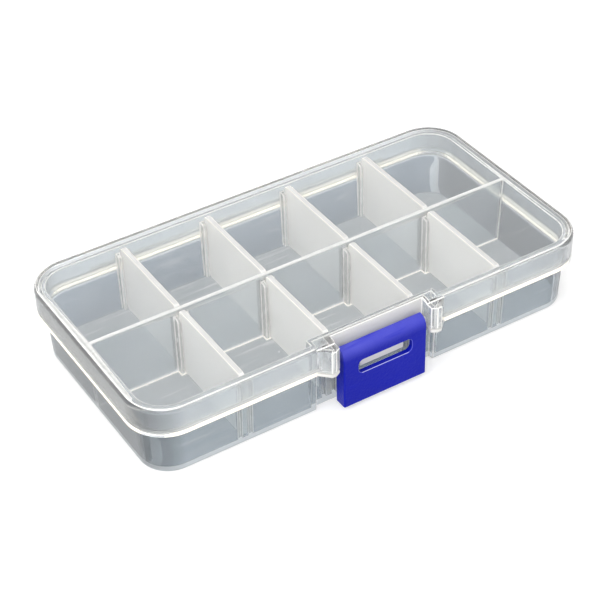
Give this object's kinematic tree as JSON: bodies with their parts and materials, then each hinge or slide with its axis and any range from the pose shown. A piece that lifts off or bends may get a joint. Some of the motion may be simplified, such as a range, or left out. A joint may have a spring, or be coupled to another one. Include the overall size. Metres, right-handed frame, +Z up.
{
  "type": "compartment box",
  "caption": "Clear plastic compartment box with a hinged lid, a blue front latch and loose milky dividers that stand in ribs.",
  "frame": {"origin": "centre of the face that the box stands on", "axes": "+X along the length, to the right seen from the latch; +Y from the latch to the hinge; +Z up"},
  "size_m": [0.128, 0.0698, 0.0218],
  "materials": {
    "clear_base": "clear polypropylene, glossy with faint scuffs",
    "clear_lid": "clear polypropylene, glossy",
    "clear_hinge": "thin clear polypropylene film, whitened where it bends",
    "milky_divider": "natural polypropylene, milky and satin",
    "blue_latch": "opaque ultramarine plastic, satin gloss"
  },
  "bodies": {
    "base": {"base_tray": "clear_base", "hinge_web": "clear_hinge"},
    "lid": {"lid": "clear_lid"},
    "latch": {"latch": "blue_latch"},
    "divider_back_1": {"divider_back_1": "milky_divider"},
    "divider_back_2": {"divider_back_2": "milky_divider"},
    "divider_back_3": {"divider_back_3": "milky_divider"},
    "divider_back_4": {"divider_back_4": "milky_divider"},
    "divider_front_1": {"divider_front_1": "milky_divider"},
    "divider_front_2": {"divider_front_2": "milky_divider"},
    "divider_front_3": {"divider_front_3": "milky_divider"},
    "divider_front_4": {"divider_front_4": "milky_divider"}
  },
  "joints": [
    {"name": "lid_hinge", "type": "hinge", "parent": "base", "child": "lid", "pos_m": [0, 0.0334, 0.0144], "axis": [-1, 0, 0], "range_deg": [0, 180], "deforming": ["hinge_web"]},
    {"name": "latch_pivot", "type": "hinge", "parent": "lid", "child": "latch", "pos_m": [0, -0.0321, 0.0161], "axis": [-1, 0, 0], "range_deg": [0, 20]},
    {"name": "divider_back_1_lift", "type": "slide", "parent": "base", "child": "divider_back_1", "axis": [0, 0, 1], "range_m": [0, 0.0003]},
    {"name": "divider_back_2_lift", "type": "slide", "parent": "base", "child": "divider_back_2", "axis": [0, 0, 1], "range_m": [0, 0.0003]},
    {"name": "divider_back_3_lift", "type": "slide", "parent": "base", "child": "divider_back_3", "axis": [0, 0, 1], "range_m": [0, 0.0003]},
    {"name": "divider_back_4_lift", "type": "slide", "parent": "base", "child": "divider_back_4", "axis": [0, 0, 1], "range_m": [0, 0.0003]},
    {"name": "divider_front_1_lift", "type": "slide", "parent": "base", "child": "divider_front_1", "axis": [0, 0, 1], "range_m": [0, 0.0003]},
    {"name": "divider_front_2_lift", "type": "slide", "parent": "base", "child": "divider_front_2", "axis": [0, 0, 1], "range_m": [0, 0.0003]},
    {"name": "divider_front_3_lift", "type": "slide", "parent": "base", "child": "divider_front_3", "axis": [0, 0, 1], "range_m": [0, 0.0003]},
    {"name": "divider_front_4_lift", "type": "slide", "parent": "base", "child": "divider_front_4", "axis": [0, 0, 1], "range_m": [0, 0.0003]}
  ]
}
